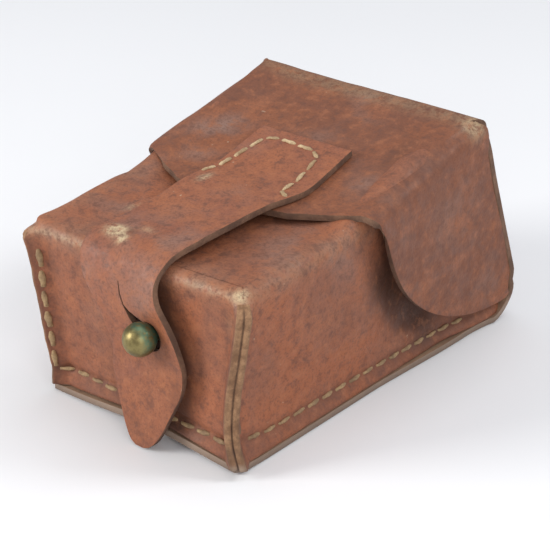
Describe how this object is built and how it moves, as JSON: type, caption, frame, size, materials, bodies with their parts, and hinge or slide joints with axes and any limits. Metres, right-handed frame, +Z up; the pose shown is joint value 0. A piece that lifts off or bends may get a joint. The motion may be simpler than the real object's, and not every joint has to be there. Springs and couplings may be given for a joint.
{
  "type": "selenium light meter in belt case",
  "caption": "Small selenium light meter held in a hand-stitched leather belt case with a hinged lid, a strap and a ball stud.",
  "frame": {"origin": "centre of the case's length and width, on the underside of its flat back panel, which is the surface it lies on", "axes": "+Y from the end with the stud to the hinged end of the lid, +Z up out of the case's front, +X to the right of someone facing the stud end"},
  "size_m": [0.07, 0.1208, 0.0602],
  "materials": {
    "leather": "worn vegetable-tanned leather, reddish brown with a grey bloom",
    "strap_leather": "the same leather, rubbed paler where it bends",
    "thread": "waxed linen thread",
    "stud_brass": "aged brass with a little green",
    "bakelite": "moulded, polished",
    "bright_plate": "satin",
    "steel": "turned",
    "clear_glass": "clear",
    "selenium": "dark grey, semi-gloss",
    "printed_board": "matt cream lacquer",
    "copper": "enamelled copper wire and springy copper alloy"
  },
  "bodies": {
    "case": {"case_body": "leather", "back_panel": "leather", "stud_knob": "stud_brass", "stud_washer": "stud_brass", "stud_screw": "stud_brass", "thread_side_right": "thread", "thread_corner_right": "thread", "thread_side_left": "thread", "thread_corner_left": "thread", "thread_end": "thread", "meter_housing": "bakelite", "meter_front_cover": "bakelite", "cell_bezel": "bright_plate", "bezel_screw_1": "steel", "bezel_screw_2": "steel", "bezel_screw_3": "steel", "bezel_screw_4": "steel", "cell_louvre": "bakelite", "cell_glass": "clear_glass", "cell_contact_frame": "copper", "selenium_cell": "selenium", "cell_backing_board": "printed_board", "scale_window": "clear_glass", "scale_plate": "printed_board", "movement_core": "steel", "horseshoe_magnet": "steel", "upper_bridge": "bright_plate", "lower_bridge": "bright_plate", "bridge_post_left": "steel", "bridge_post_right": "steel", "dial_scale_ring": "printed_board", "dial_screw": "steel", "lock_spring": "steel", "lock_spring_seat": "bright_plate"},
    "lid": {"lid_leather": "leather", "strap_base": "strap_leather", "thread_strap": "thread"},
    "tongue": {"strap_tongue": "strap_leather"},
    "movement": {"pointer_staff": "steel", "pointer": "bakelite", "moving_coil": "copper", "hairspring": "copper"},
    "dial": {"calculator_dial": "bright_plate"},
    "zero_screw": {"zero_adjuster": "steel"},
    "lock": {"lock_button": "bakelite"}
  },
  "joints": [
    {"name": "lid_hinge", "type": "hinge", "parent": "case", "child": "lid", "pos_m": [0, 0.05844, 0.002], "axis": [-1, 0, 0], "range_deg": [0, 100], "deforming": ["strap_tongue"]},
    {"name": "tongue_bend", "type": "hinge", "parent": "lid", "child": "tongue", "pos_m": [0, -0.04431, 0.0483], "axis": [-1, 0, 0], "range_deg": [0, 90], "deforming": ["strap_tongue"]},
    {"name": "pointer_turn", "type": "hinge", "parent": "case", "child": "movement", "pos_m": [0, 0.00174, 0.04229], "axis": [0, 0.2497, -0.9683], "range_deg": [0, 72], "stiffness_Nm_per_rad": 0.00002, "springref_deg": -20.05, "deforming": ["hairspring"]},
    {"name": "dial_turn", "type": "hinge", "parent": "case", "child": "dial", "pos_m": [0, -0.02461, 0.0415], "axis": [0, 0, 1], "continuous": true},
    {"name": "zero_adjust", "type": "hinge", "parent": "case", "child": "zero_screw", "pos_m": [-0.0205, -0.00711, 0.0395], "axis": [0, 0, 1], "range_deg": [-30, 30]},
    {"name": "lock_press", "type": "slide", "parent": "case", "child": "lock", "axis": [0, 0, -1], "range_m": [0, 0.0012], "stiffness_N_per_m": 300, "springref_m": -0.002, "deforming": ["lock_spring"]}
  ]
}
